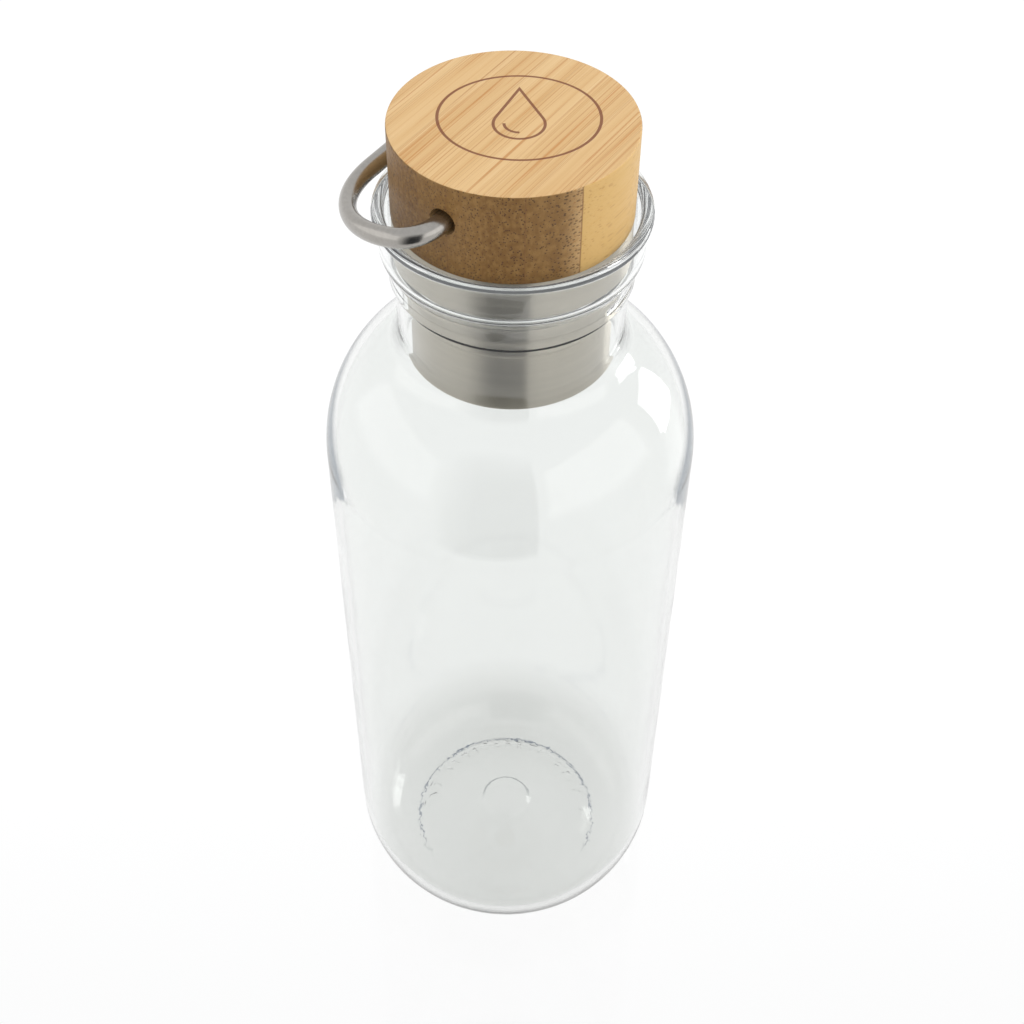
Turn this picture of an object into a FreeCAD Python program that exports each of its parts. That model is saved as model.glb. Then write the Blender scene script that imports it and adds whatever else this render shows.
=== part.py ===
"""A clear water bottle with a screw-in lid, modelled as the pieces it is built from.

The bottle stands on its base ring at the origin, with +Z up. Its lid is a bamboo cap over a steel band
and a steel plug, which screws into the neck with a right-hand thread. A steel bail is sprung into two
blind holes in the cap, on an axis along Y, and lies towards -X on the rim. All sizes are millimetres.
"""

import math
import os

import FreeCAD
import Part

from FreeCAD import Vector

# Driving dimensions
TOTAL_H = 214.5  # base ring to the top of the cap
BODY_R = 36.5
BODY_WALL = 1.8

# Base: an elliptical corner, a standing ring and a push-up with a button at its centre
CORNER_A, CORNER_B = 12.5, 19.0  # the corner's radial and vertical half axes
FLOOR_T = 2.2
RING_IN_R = 22.7  # inner edge of the standing ring
RING_STEP = 0.7
PUSH_UP_Z = 6.6  # underside of the push-up at its centre
PUSH_UP_T = 2.3
VALLEY_ROUND = 3.0
BUTTON_R = 5.6
BUTTON_H = 1.3
BUTTON_ROUND = 0.9

# Shoulder and neck
SHOULDER_A, SHOULDER_B = 24.9, 29.2
SHOULDER_Z = 140.5  # top of the straight wall
NECK_R = 21.1
NECK_BORE_R = 19.6
NECK_FILLET = 6.0
INNER_FILLET = 4.0
THREAD_WALL_R = 22.2  # outside of the neck around the thread
THREAD_WALL_Z = 183.3
THREAD_BORE_R = 19.9
THREAD_BORE_Z = 181.2

# Collar: a bowl around the cap, with a lip at its rim
COLLAR_R = 23.8
COLLAR_BORE_R = 22.3
COLLAR_ROUND = 3.5  # outer radius of the bowl's corner
RIM_R = 24.65
RIM_Z = 198.0
LIP_H = 1.3
SEAT_Z = 189.0  # floor of the bowl, where the gasket seals

# Thread
LEAD = 4.0
THREAD_OVERLAP = 0.25  # how far a ridge is rooted in its wall
MALE_ROOT_R, MALE_CREST_R = 18.6, 19.7
MALE_BASE, MALE_CREST = 0.85, 0.40  # half widths of the ridge
MALE_START_Z, MALE_TURNS = 182.9, 1.15
FEMALE_CREST_R = 19.25
FEMALE_BASE, FEMALE_CREST = 0.75, 0.45
FEMALE_ABOVE_MALE = 1.3  # the bottle's ridge bears on top of the plug's
FEMALE_TURNS = 0.95

# Cap and bail
CAP_R = 21.3
CAP_Z = 197.0  # underside of the bamboo
CAP_EDGE = 0.5
RECESS_R = 16.5
RECESS_H = 5.0
PIVOT_Z = 207.1
PIVOT_BORE_R = 2.45
PIVOT_BORE_IN = 12.8  # from the cap's axis to the bore's end
BORE_COUNTERSINK = 0.5
PIN_R = 1.75
PIN_END = 13.4
BAIL_HALF_W = 27.4  # from the bottle's axis to the middle of an arm
BAIL_REACH = 25.4  # from the pivot to the middle of the crossbar
BAIL_ARM_R = 5.4
BAIL_CORNER_R = 19.5
BAIL_THICK, BAIL_WIDE = 3.0, 3.6  # in the bail's plane, and across it
BAIL_DROOP = 16.0  # degrees below the horizontal at rest

# Lid metalwork and core
BAND_R = 21.2
BAND_T = 0.45
BAND_Z = 189.9
BAND_LIP_R = 16.9
SHELL_R = 18.5
SHELL_T = 0.5
SHELL_Z = 165.5
SHELL_TOP_Z = 188.8
SHELL_CORNER = 1.6
BEAD_Z, BEAD_R, BEAD_OUT = 179.8, 1.0, 0.55
CORE_GAP = 0.05
CORE_FLANGE_Z = 190.2
CORE_NECK_R = 19.4
CORE_WALL_R = 15.5  # inside of the hollow core
CORE_ROOF_Z = 193.0
CORE_FOOT_Z = 167.0
BOSS_TOP_Z = 201.6
RIB_T = 1.6
GASKET_IN, GASKET_OUT = 19.7, 20.4
GASKET_GAP = 0.05  # the gasket is drawn relaxed, just clear of its seat and of the core

# Screws from the core up into the bamboo
SCREW_COUNT = 3
SCREW_PITCH_R = 10.0
SCREW_R = 1.25
SCREW_HEAD_R, SCREW_HEAD_H = 2.6, 1.5
SCREW_TIP_Z = 208.5
SCREW_POINT = 1.8
SCREW_BORE_R = 1.45
DRIVE_R, DRIVE_DEPTH, DRIVE_SLOT = 1.5, 0.8, 0.5

OUT = "parts"
AXIS_Z = Vector(0, 0, 1)
ORIGIN = Vector(0, 0, 0)


def at(r, z):
    """A point of a half section, which lies in the XZ plane."""
    return Vector(r, 0, z)


def line(a, b):
    return Part.LineSegment(at(*a), at(*b)).toShape()


def arc(centre, radius, start_deg, end_deg):
    """A circular arc in the XZ plane, angles from +X towards +Z."""
    middle = (start_deg + end_deg) / 2
    ends = [
        at(centre[0] + radius * math.cos(math.radians(d)), centre[1] + radius * math.sin(math.radians(d)))
        for d in (start_deg, middle, end_deg)
    ]
    return Part.Arc(*ends).toShape()


def ellipse_point(centre, a, b, deg):
    t = math.radians(deg)
    return (centre[0] + a * math.cos(t), centre[1] + b * math.sin(t))


def ellipse_arc(centre, a, b, start_deg, end_deg):
    """An elliptical arc in the XZ plane whose longer half axis, b, is vertical."""
    ellipse = Part.Ellipse(at(centre[0], centre[1] + b), at(centre[0] + a, centre[1]), at(*centre))
    ends = [ellipse.parameter(at(*ellipse_point(centre, a, b, d))) for d in (start_deg, end_deg)]
    low, high = sorted(ends)
    if high - low > math.pi:
        low, high = high, low + 2 * math.pi
    return Part.ArcOfEllipse(ellipse, low, high).toShape()


def spin(edges):
    """Revolves a closed half section about the Z axis."""
    wire = Part.Wire(Part.__sortEdges__(edges))
    return Part.Face(wire).revolve(ORIGIN, AXIS_Z, 360)


def tube(r_out, r_in, z0, z1):
    outer = Part.makeCylinder(r_out, z1 - z0, Vector(0, 0, z0))
    return outer.cut(Part.makeCylinder(r_in, z1 - z0, Vector(0, 0, z0)))


def is_ring(edge, r, z):
    """Whether an edge is a circle of radius r at height z. A sphere's pole has no curve at all."""
    if edge.Length < 0.01 or abs(edge.BoundBox.ZMin - z) > 0.02 or abs(edge.BoundBox.ZMax - z) > 0.02:
        return False
    return isinstance(edge.Curve, Part.Circle) and abs(edge.Curve.Radius - r) < 0.02


def round_edges(solid, targets):
    """Rounds each circular edge named by (radius, height, fillet radius)."""
    for r, z, fillet in targets:
        found = [e for e in solid.Edges if is_ring(e, r, z)]
        if not found:
            raise ValueError(f"no edge of radius {r} at height {z}")
        solid = solid.makeFillet(fillet, found)
    return solid


def thread_ridge(base_r, crest_r, base_half, crest_half, start_z, turns):
    """A right-hand helical ridge with a trapezium section, rooted in its wall by THREAD_OVERLAP."""
    inward = 1 if crest_r > base_r else -1
    root_r = base_r - inward * THREAD_OVERLAP
    corners = [
        (root_r, start_z - base_half), (base_r, start_z - base_half), (crest_r, start_z - crest_half),
        (crest_r, start_z + crest_half), (base_r, start_z + base_half), (root_r, start_z + base_half),
    ]
    profile = Part.makePolygon([at(*c) for c in corners + corners[:1]])
    helix = Part.makeHelix(LEAD, LEAD * turns, base_r)
    helix.translate(Vector(0, 0, start_z))
    return Part.Wire(helix).makePipeShell([profile], True, True)


def shoulder_cut(a, b, r):
    """The angle and height where the shoulder's ellipse reaches radius r."""
    deg = math.degrees(math.acos((r - (BODY_R - SHOULDER_A)) / a))
    return deg, SHOULDER_Z + b * math.sin(math.radians(deg))


def bottle_outside():
    """The bottle's outer surface as a filled solid, from the standing ring to the rim."""
    shoulder_c = (BODY_R - SHOULDER_A, SHOULDER_Z)
    corner_c = (BODY_R - CORNER_A, CORNER_B)
    neck_deg, neck_z = shoulder_cut(SHOULDER_A, SHOULDER_B, NECK_R)
    bowl_c = (COLLAR_R - COLLAR_ROUND, SEAT_Z + COLLAR_ROUND - (COLLAR_R - COLLAR_BORE_R))
    bowl_deg = -math.degrees(math.acos((THREAD_WALL_R - bowl_c[0]) / COLLAR_ROUND))
    bowl_end = (THREAD_WALL_R, bowl_c[1] + COLLAR_ROUND * math.sin(math.radians(bowl_deg)))
    edges = [
        line((0, 0), (corner_c[0], 0)),
        ellipse_arc(corner_c, CORNER_A, CORNER_B, -90, 0),
        line((BODY_R, CORNER_B), (BODY_R, SHOULDER_Z)),
        ellipse_arc(shoulder_c, SHOULDER_A, SHOULDER_B, 0, neck_deg),
        line((NECK_R, neck_z), (NECK_R, THREAD_WALL_Z)),
        line((NECK_R, THREAD_WALL_Z), (THREAD_WALL_R, THREAD_WALL_Z)),
        line((THREAD_WALL_R, THREAD_WALL_Z), bowl_end),
        arc(bowl_c, COLLAR_ROUND, bowl_deg, 0),
        line((COLLAR_R, bowl_c[1]), (COLLAR_R, RIM_Z - LIP_H)),
        line((COLLAR_R, RIM_Z - LIP_H), (RIM_R, RIM_Z - LIP_H)),
        line((RIM_R, RIM_Z - LIP_H), (RIM_R, RIM_Z)),
        line((RIM_R, RIM_Z), (0, RIM_Z)),
        line((0, RIM_Z), (0, 0)),
    ]
    return round_edges(spin(edges), [
        (NECK_R, neck_z, NECK_FILLET),
        (THREAD_WALL_R, THREAD_WALL_Z, 0.8),
        (RIM_R, RIM_Z, 0.6),
        (RIM_R, RIM_Z - LIP_H, 0.5),
    ])


def bottle_inside():
    """The space inside the bottle: the cavity, the neck's bore and the collar's bowl."""
    a, b = SHOULDER_A - BODY_WALL, SHOULDER_B - BODY_WALL
    corner_a, corner_b = CORNER_A - BODY_WALL, CORNER_B - FLOOR_T
    corner_c = (BODY_R - CORNER_A, CORNER_B)
    shoulder_c = (BODY_R - SHOULDER_A, SHOULDER_Z)
    neck_deg, neck_z = shoulder_cut(a, b, NECK_BORE_R)
    wall_r = BODY_R - BODY_WALL
    dome_top = PUSH_UP_Z + PUSH_UP_T
    rise = dome_top - FLOOR_T
    dome_r = (corner_c[0] ** 2 + rise ** 2) / (2 * rise)
    edge_deg = math.degrees(math.asin(corner_c[0] / dome_r))
    button_deg = math.degrees(math.asin(BUTTON_R / dome_r))
    dome_c = (0, dome_top - dome_r)
    button_z = dome_c[1] + dome_r * math.cos(math.radians(button_deg))
    bowl_c = (COLLAR_R - COLLAR_ROUND, SEAT_Z + COLLAR_ROUND - (COLLAR_R - COLLAR_BORE_R))
    bowl_r = COLLAR_ROUND - (COLLAR_R - COLLAR_BORE_R)
    above = RIM_Z + 1
    edges = [
        line((0, dome_top + BUTTON_H), (BUTTON_R, dome_top + BUTTON_H)),
        line((BUTTON_R, dome_top + BUTTON_H), (BUTTON_R, button_z)),
        arc(dome_c, dome_r, 90 - button_deg, 90 - edge_deg),
        ellipse_arc(corner_c, corner_a, corner_b, -90, 0),
        line((wall_r, CORNER_B), (wall_r, SHOULDER_Z)),
        ellipse_arc(shoulder_c, a, b, 0, neck_deg),
        line((NECK_BORE_R, neck_z), (NECK_BORE_R, THREAD_BORE_Z)),
        line((NECK_BORE_R, THREAD_BORE_Z), (THREAD_BORE_R, THREAD_BORE_Z + 0.6)),
        line((THREAD_BORE_R, THREAD_BORE_Z + 0.6), (THREAD_BORE_R, SEAT_Z)),
        line((THREAD_BORE_R, SEAT_Z), (bowl_c[0], SEAT_Z)),
        arc(bowl_c, bowl_r, -90, 0),
        line((COLLAR_BORE_R, bowl_c[1]), (COLLAR_BORE_R, above)),
        line((COLLAR_BORE_R, above), (0, above)),
        line((0, above), (0, dome_top + BUTTON_H)),
    ]
    return round_edges(spin(edges), [
        (NECK_BORE_R, neck_z, INNER_FILLET),
        (corner_c[0], FLOOR_T, VALLEY_ROUND),
        (BUTTON_R, dome_top + BUTTON_H, BUTTON_ROUND),
    ])


def push_up():
    """The hollow under the base: a small step inside the standing ring, then a shallow dome."""
    inner = RING_IN_R - 0.4
    rise = PUSH_UP_Z - RING_STEP
    dome_r = (inner ** 2 + rise ** 2) / (2 * rise)
    edge_deg = math.degrees(math.asin(inner / dome_r))
    edges = [
        line((0, -1), (RING_IN_R, -1)),
        line((RING_IN_R, -1), (RING_IN_R, 0)),
        line((RING_IN_R, 0), (inner, RING_STEP)),
        arc((0, PUSH_UP_Z - dome_r), dome_r, 90 - edge_deg, 90),
        line((0, PUSH_UP_Z), (0, -1)),
    ]
    return spin(edges)


def bottle_body():
    bottle = bottle_outside().cut(bottle_inside()).cut(push_up())
    bottle = round_edges(bottle, [(COLLAR_BORE_R, RIM_Z, 0.5)])
    ridge = thread_ridge(
        THREAD_BORE_R, FEMALE_CREST_R, FEMALE_BASE, FEMALE_CREST,
        MALE_START_Z + FEMALE_ABOVE_MALE, FEMALE_TURNS,
    )
    return bottle.fuse(ridge)


def screw_places():
    out = Vector(SCREW_PITCH_R, 0, 0)
    step = 360 / SCREW_COUNT
    return [FreeCAD.Rotation(AXIS_Z, step * k).multVec(out) for k in range(SCREW_COUNT)]


def along_y(radius, y0, y1, z):
    """A cylinder parallel to Y between two values of y, centred on x 0."""
    return Part.makeCylinder(radius, y1 - y0, Vector(0, y0, z), Vector(0, 1, 0))


def bamboo_cap():
    """The turned block: a recess for the core's boss, two blind pivot bores and three pilot holes."""
    cap = Part.makeCylinder(CAP_R, TOTAL_H - CAP_Z, Vector(0, 0, CAP_Z))
    cap = round_edges(cap, [(CAP_R, TOTAL_H, CAP_EDGE)])
    cap = cap.cut(Part.makeCylinder(RECESS_R, RECESS_H, Vector(0, 0, CAP_Z)))
    for side in (-1, 1):
        near, far = sorted((side * PIVOT_BORE_IN, side * (CAP_R + 1)))
        cap = cap.cut(along_y(PIVOT_BORE_R, near, far, PIVOT_Z))
        wide = PIVOT_BORE_R + BORE_COUNTERSINK
        mouth = Part.makeCone(
            wide + 0.3, PIVOT_BORE_R, wide + 0.3 - PIVOT_BORE_R,
            Vector(0, side * (CAP_R + 0.3), PIVOT_Z), Vector(0, -side, 0),
        )
        cap = cap.cut(mouth)
    for place in screw_places():
        pilot = Part.makeCylinder(SCREW_R, SCREW_TIP_Z - CAP_Z, place + Vector(0, 0, CAP_Z))
        cap = cap.cut(pilot)
    return cap


def bail_path():
    """Points, directions and section sizes along the bail's middle line, in its own plane.

    u runs along the pivot axis and v away from it. The round pins flatten into an oval loop."""
    bend_u = BAIL_HALF_W - BAIL_ARM_R
    corner_v = BAIL_REACH - BAIL_CORNER_R
    corner_u = BAIL_HALF_W - BAIL_CORNER_R
    half = [((PIN_END + (bend_u - PIN_END) * k / 4, 0), 0, 0.0) for k in range(5)]
    for step in range(1, 4):
        t = math.radians(22.5 * step)
        place = (bend_u + BAIL_ARM_R * math.sin(t), BAIL_ARM_R - BAIL_ARM_R * math.cos(t))
        half.append((place, 22.5 * step, step / 4))
    for step in range(13):
        t = math.radians(7.5 * step)
        place = (corner_u + BAIL_CORNER_R * math.cos(t), corner_v + BAIL_CORNER_R * math.sin(t))
        half.append((place, 90 + 7.5 * step, 1.0))
    half += [((corner_u * k / 3, BAIL_REACH), 180, 1.0) for k in (2, 1, 0)]
    mirrored = [((-u, v), 360 - deg, flat) for (u, v), deg, flat in reversed(half[:-1])]
    return half + mirrored


def bail_section(place, heading_deg, flat):
    """An oval across the bail's line: round at flat 0, and its full width and thickness at flat 1."""
    wide = PIN_R + flat * (BAIL_WIDE / 2 - PIN_R)
    thick = PIN_R + flat * (BAIL_THICK / 2 - PIN_R)
    ring = Part.Ellipse(ORIGIN, 1.001 * max(wide, thick), min(wide, thick)).toShape()
    # The ellipse's long axis becomes Z, across the plane, and its short axis lies in the plane.
    ring.rotate(ORIGIN, Vector(0, 1, 0), 90)
    ring.rotate(ORIGIN, AXIS_Z, 90 + heading_deg)
    ring.translate(Vector(-place[1], -place[0], 0))
    return Part.Wire(ring)


def bail_handle():
    """The bail lies in the XY plane while it is made, then droops about the pivot axis."""
    sections = []
    for (u, v), heading, flat in bail_path():
        ring = bail_section((u, v), 180 - heading, flat)
        sections.append(ring)
    bail = Part.makeLoft(sections, True, False)
    bail.rotate(ORIGIN, Vector(0, 1, 0), -BAIL_DROOP)
    bail.translate(Vector(0, 0, PIVOT_Z))
    return bail


def steel_band():
    """A flush ring under the bamboo, with a lip clamped between the bamboo and the core."""
    wall = tube(BAND_R, BAND_R - BAND_T, BAND_Z, CAP_Z)
    lip = tube(BAND_R - BAND_T, BAND_LIP_R, CAP_Z - BAND_T, CAP_Z)
    return wall.fuse(lip).removeSplitter()


def plug_shell():
    """The drawn steel cup over the core, with a rolled bead and a thread."""
    top = SHELL_TOP_Z
    outer = Part.makeCylinder(SHELL_R, top - SHELL_Z, Vector(0, 0, SHELL_Z))
    outer = round_edges(outer, [(SHELL_R, SHELL_Z, SHELL_CORNER)])
    root = Part.makeCylinder(MALE_ROOT_R, top - BEAD_Z, Vector(0, 0, BEAD_Z))
    bead = Part.makeTorus(SHELL_R + BEAD_OUT - BEAD_R, BEAD_R, Vector(0, 0, BEAD_Z))
    inner = Part.makeCylinder(SHELL_R - SHELL_T, top - SHELL_Z, Vector(0, 0, SHELL_Z + SHELL_T))
    inner = round_edges(inner, [(SHELL_R - SHELL_T, SHELL_Z + SHELL_T, SHELL_CORNER - SHELL_T)])
    ridge = thread_ridge(
        MALE_ROOT_R, MALE_CREST_R, MALE_BASE, MALE_CREST, MALE_START_Z, MALE_TURNS
    )
    return outer.fuse([root, bead]).cut(inner).fuse(ridge).removeSplitter()


def plug_core():
    """The moulded core: a hollow barrel in the shell, a flange behind the band and a boss in the cap."""
    barrel_r = SHELL_R - SHELL_T - CORE_GAP
    barrel = tube(barrel_r, CORE_WALL_R, CORE_FOOT_Z, CORE_ROOF_Z)
    neck = tube(CORE_NECK_R, CORE_WALL_R, SHELL_TOP_Z + 0.1, CORE_FLANGE_Z)
    flange = tube(BAND_R - BAND_T - CORE_GAP, CORE_WALL_R, CORE_FLANGE_Z, CAP_Z - BAND_T)
    roof = Part.makeCylinder(CORE_WALL_R, CAP_Z - CORE_ROOF_Z, Vector(0, 0, CORE_ROOF_Z))
    boss = Part.makeCylinder(RECESS_R - 0.2, BOSS_TOP_Z - CAP_Z + BAND_T, Vector(0, 0, CAP_Z - BAND_T))
    core = barrel.fuse([neck, flange, roof, boss])
    rib_h = CORE_ROOF_Z - CORE_FOOT_Z - 14
    for k in range(SCREW_COUNT):
        rib = Part.makeBox(CORE_WALL_R, RIB_T, rib_h, Vector(0, -RIB_T / 2, CORE_ROOF_Z - rib_h))
        rib.rotate(ORIGIN, AXIS_Z, 60 + 360 / SCREW_COUNT * k)
        core = core.fuse(rib)
    for place in screw_places():
        bore = Part.makeCylinder(SCREW_BORE_R, BOSS_TOP_Z - CORE_ROOF_Z, place + Vector(0, 0, CORE_ROOF_Z))
        core = core.cut(bore)
    return core.removeSplitter()


def core_screws():
    """Pan-head screws, heads against the core's roof and points in the bamboo."""
    head_z = CORE_ROOF_Z - SCREW_HEAD_H
    screws = []
    for place in screw_places():
        head = Part.makeCylinder(SCREW_HEAD_R, SCREW_HEAD_H, Vector(0, 0, head_z))
        head = round_edges(head, [(SCREW_HEAD_R, head_z, 0.6)])
        shank = Part.makeCylinder(SCREW_R, SCREW_TIP_Z - SCREW_POINT - CORE_ROOF_Z, Vector(0, 0, CORE_ROOF_Z))
        point = Part.makeCone(SCREW_R, 0.2, SCREW_POINT, Vector(0, 0, SCREW_TIP_Z - SCREW_POINT))
        screw = head.fuse([shank, point])
        for turn in (0, 90):
            slot = Part.makeBox(
                2 * DRIVE_R, DRIVE_SLOT, DRIVE_DEPTH, Vector(-DRIVE_R, -DRIVE_SLOT / 2, head_z)
            )
            slot.rotate(ORIGIN, AXIS_Z, turn)
            screw = screw.cut(slot)
        screw.translate(place)
        screws.append(screw.removeSplitter())
    return Part.makeCompound(screws)


def neck_gasket():
    ring = tube(GASKET_OUT, GASKET_IN, SEAT_Z + GASKET_GAP, CORE_FLANGE_Z - GASKET_GAP)
    edges = [(r, z, 0.2) for r in (GASKET_OUT, GASKET_IN) for z in (ring.BoundBox.ZMin, ring.BoundBox.ZMax)]
    return round_edges(ring, edges)


PIECES = {
    "bottle_body": bottle_body,
    "bamboo_cap": bamboo_cap,
    "bail_handle": bail_handle,
    "steel_band": steel_band,
    "plug_shell": plug_shell,
    "plug_core": plug_core,
    "core_screws": core_screws,
    "neck_gasket": neck_gasket,
}


def main():
    os.makedirs(OUT, exist_ok=True)
    for name, make in PIECES.items():
        shape = make()
        shape.exportStep(os.path.join(OUT, name + ".step"))
        box = shape.BoundBox
        print(
            f"{name}: {len(shape.Solids)} solid(s), valid {shape.isValid()}, {shape.Volume / 1000:.2f} cm3, "
            f"z {box.ZMin:.2f} to {box.ZMax:.2f}, x {box.XMin:.2f} to {box.XMax:.2f}"
        )


main()
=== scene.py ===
"""Looks for the water bottle: clear bottle, laminated bamboo cap, brushed steel band, plug and bail.

Lengths are in millimetres inside the shape helpers and metres on every Blender object."""
import math
import random

import bmesh
import bpy
from mathutils import Matrix, Vector


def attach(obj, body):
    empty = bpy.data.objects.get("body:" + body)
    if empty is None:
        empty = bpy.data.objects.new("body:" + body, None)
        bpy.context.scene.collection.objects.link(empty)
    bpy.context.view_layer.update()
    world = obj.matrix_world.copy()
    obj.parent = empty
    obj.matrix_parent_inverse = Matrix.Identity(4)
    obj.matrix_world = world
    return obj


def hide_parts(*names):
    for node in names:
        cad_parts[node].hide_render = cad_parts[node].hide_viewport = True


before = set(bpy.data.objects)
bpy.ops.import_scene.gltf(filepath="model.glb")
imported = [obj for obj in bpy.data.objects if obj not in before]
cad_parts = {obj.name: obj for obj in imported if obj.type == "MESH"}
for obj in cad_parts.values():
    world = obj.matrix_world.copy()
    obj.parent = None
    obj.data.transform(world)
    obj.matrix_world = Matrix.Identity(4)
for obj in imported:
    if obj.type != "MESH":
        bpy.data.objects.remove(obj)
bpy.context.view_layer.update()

MM = 0.001

# Sizes shared with the CAD model, in millimetres
BODY_R = 36.5
WALL = 1.8
CAP_R = 21.3
CAP_Z = 197.0
TOP_Z = 214.5
PIVOT_Z = 207.1
PIVOT_BORE_R = 2.45
PIVOT_BORE_IN = 12.8
LEAD = 4.0
CORNER_A, CORNER_B = 12.5, 19.0  # the base corner's half axes, across and up
SHOULDER_R, SHOULDER_Z = 11.6, 140.5  # centre of the shoulder's ellipse
SHOULDER_A, SHOULDER_B = 24.9, 29.2  # its half axes, across and up
NECK_R, NECK_BORE_R = 21.1, 19.6

# The photograph's compass angle in degrees, and the heights between which the shoulder's painted dark edge
# shows
FRONT = 32.4
FRONT_SIN, FRONT_COS = math.sin(math.radians(FRONT)), math.cos(math.radians(FRONT))
EDGE_FOOT_Z = 128.0
EDGE_TOP_Z = 164.0

# Wood and studio
STRIP_W = 6.05
STRIP_START = 0.95
MARK_RING_R = 13.65
RIM_GLOW = 0.022
FLOOR_GLOSS = 0.07


# ---------------------------------------------------------------- profiles

def straight(a, b, step=1.5):
    """Points from a to b, both included, no further apart than step."""
    count = max(1, math.ceil(math.dist(a, b) / step))
    return [(a[0] + (b[0] - a[0]) * k / count, a[1] + (b[1] - a[1]) * k / count) for k in range(count + 1)]


def oval(centre, a, b, start_deg, end_deg, count=28):
    """Points along an elliptical arc with half axes a across and b up."""
    points = []
    for k in range(count + 1):
        t = math.radians(start_deg + (end_deg - start_deg) * k / count)
        points.append((centre[0] + a * math.cos(t), centre[1] + b * math.sin(t)))
    return points


def trim(points, length, from_end):
    """Shortens a run by a length at one end."""
    points = points[::-1] if from_end else points[:]
    left = length
    while len(points) > 2 and math.dist(points[0], points[1]) <= left:
        left -= math.dist(points[0], points[1])
        points.pop(0)
    span = math.dist(points[0], points[1])
    share = min(0.98, left / span) if span else 0
    start, after = points[0], points[1]
    points[0] = (start[0] + (after[0] - start[0]) * share, start[1] + (after[1] - start[1]) * share)
    return points[::-1] if from_end else points


def chain(first, *steps, count=7):
    """Joins runs end to start. Each step is (tangent length, run); the length rounds the corner between."""
    points = first[:]
    for size, run in steps:
        corner = run[0]
        if size:
            points = trim(points, size, True)
            run = trim(run, size, False)
            a, b = points[-1], run[0]
            bend = []
            for k in range(1, count):
                t = k / count
                bend.append(tuple(
                    (1 - t) ** 2 * a[i] + 2 * t * (1 - t) * corner[i] + t * t * b[i] for i in (0, 1)
                ))
            points = points + bend + run
        else:
            points = points + run[1:]
    return points


def dome_arc(edge_r, edge_z, top_z, from_r, to_r, count=24):
    """Points on a shallow dome, from one radius to another."""
    rise = top_z - edge_z
    radius = (edge_r ** 2 + rise ** 2) / (2 * rise)
    points = []
    for k in range(count + 1):
        r = from_r + (to_r - from_r) * k / count
        points.append((r, top_z - radius + math.sqrt(radius ** 2 - r ** 2)))
    return points


# ---------------------------------------------------------------- meshes

def new_object(name, verts, faces, smooth=True):
    mesh = bpy.data.meshes.new(name)
    mesh.from_pydata([(x * MM, y * MM, z * MM) for x, y, z in verts], [], faces)
    mesh.validate()
    bm = bmesh.new()
    bm.from_mesh(mesh)
    bmesh.ops.remove_doubles(bm, verts=bm.verts, dist=1e-7)
    bmesh.ops.recalc_face_normals(bm, faces=bm.faces)
    bm.to_mesh(mesh)
    bm.free()
    for face in mesh.polygons:
        face.use_smooth = smooth
    obj = bpy.data.objects.new(name, mesh)
    bpy.context.collection.objects.link(obj)
    return obj


def lathe(name, profile, segments=256, shift=None, closed=False):
    """Revolves a profile about Z. shift(r, z, angle) may move each point."""
    verts, rings = [], []
    for r, z in profile:
        if r < 1e-6 and not closed:
            rings.append([len(verts)])
            verts.append((0, 0, z))
            continue
        ring = []
        for k in range(segments):
            t = 2 * math.pi * k / segments
            rr, zz = shift(r, z, t) if shift else (r, z)
            ring.append(len(verts))
            verts.append((rr * math.cos(t), rr * math.sin(t), zz))
        rings.append(ring)
    if closed:
        rings.append(rings[0])
    faces = []
    for low, high in zip(rings, rings[1:]):
        for k in range(segments):
            n = (k + 1) % segments
            if len(low) == 1 and len(high) == 1:
                continue
            if len(low) == 1:
                faces.append((low[0], high[n], high[k]))
            elif len(high) == 1:
                faces.append((low[k], low[n], high[0]))
            else:
                faces.append((low[k], low[n], high[n], high[k]))
    return new_object(name, verts, faces)


def mark_sharp(obj, degrees):
    """Keeps edges steeper than an angle crisp under smooth shading."""
    mesh = obj.data
    bm = bmesh.new()
    bm.from_mesh(mesh)
    for edge in bm.edges:
        if len(edge.link_faces) == 2 and edge.calc_face_angle(0) > math.radians(degrees):
            edge.smooth = False
    bm.to_mesh(mesh)
    bm.free()


# ---------------------------------------------------------------- materials

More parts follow.
